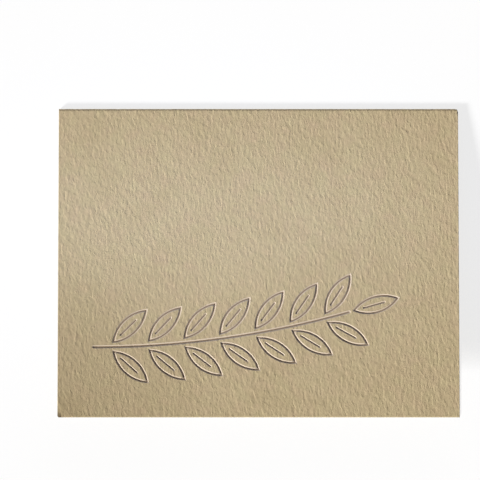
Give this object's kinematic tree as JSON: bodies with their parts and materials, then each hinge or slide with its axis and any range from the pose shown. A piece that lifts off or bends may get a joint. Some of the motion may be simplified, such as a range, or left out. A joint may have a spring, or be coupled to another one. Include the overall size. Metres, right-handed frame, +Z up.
{
  "type": "greeting card",
  "caption": "Folded greeting card in thick felt-textured tan stock, lying closed but sprung slightly open, with a blind-debossed leafy branch on its front.",
  "frame": {"origin": "on the surface the card lies on, under the middle of its bounding box", "axes": "+X to the reader's right along the fold, +Y across the panels towards the fold, +Z up out of the front panel"},
  "size_m": [0.1396, 0.108, 0.0108],
  "materials": {
    "card_stock": "uncoated tan cover stock, felt-marked on both faces, clean-cut edges"
  },
  "bodies": {
    "root": {"folded_card": "card_stock"}
  },
  "joints": []
}
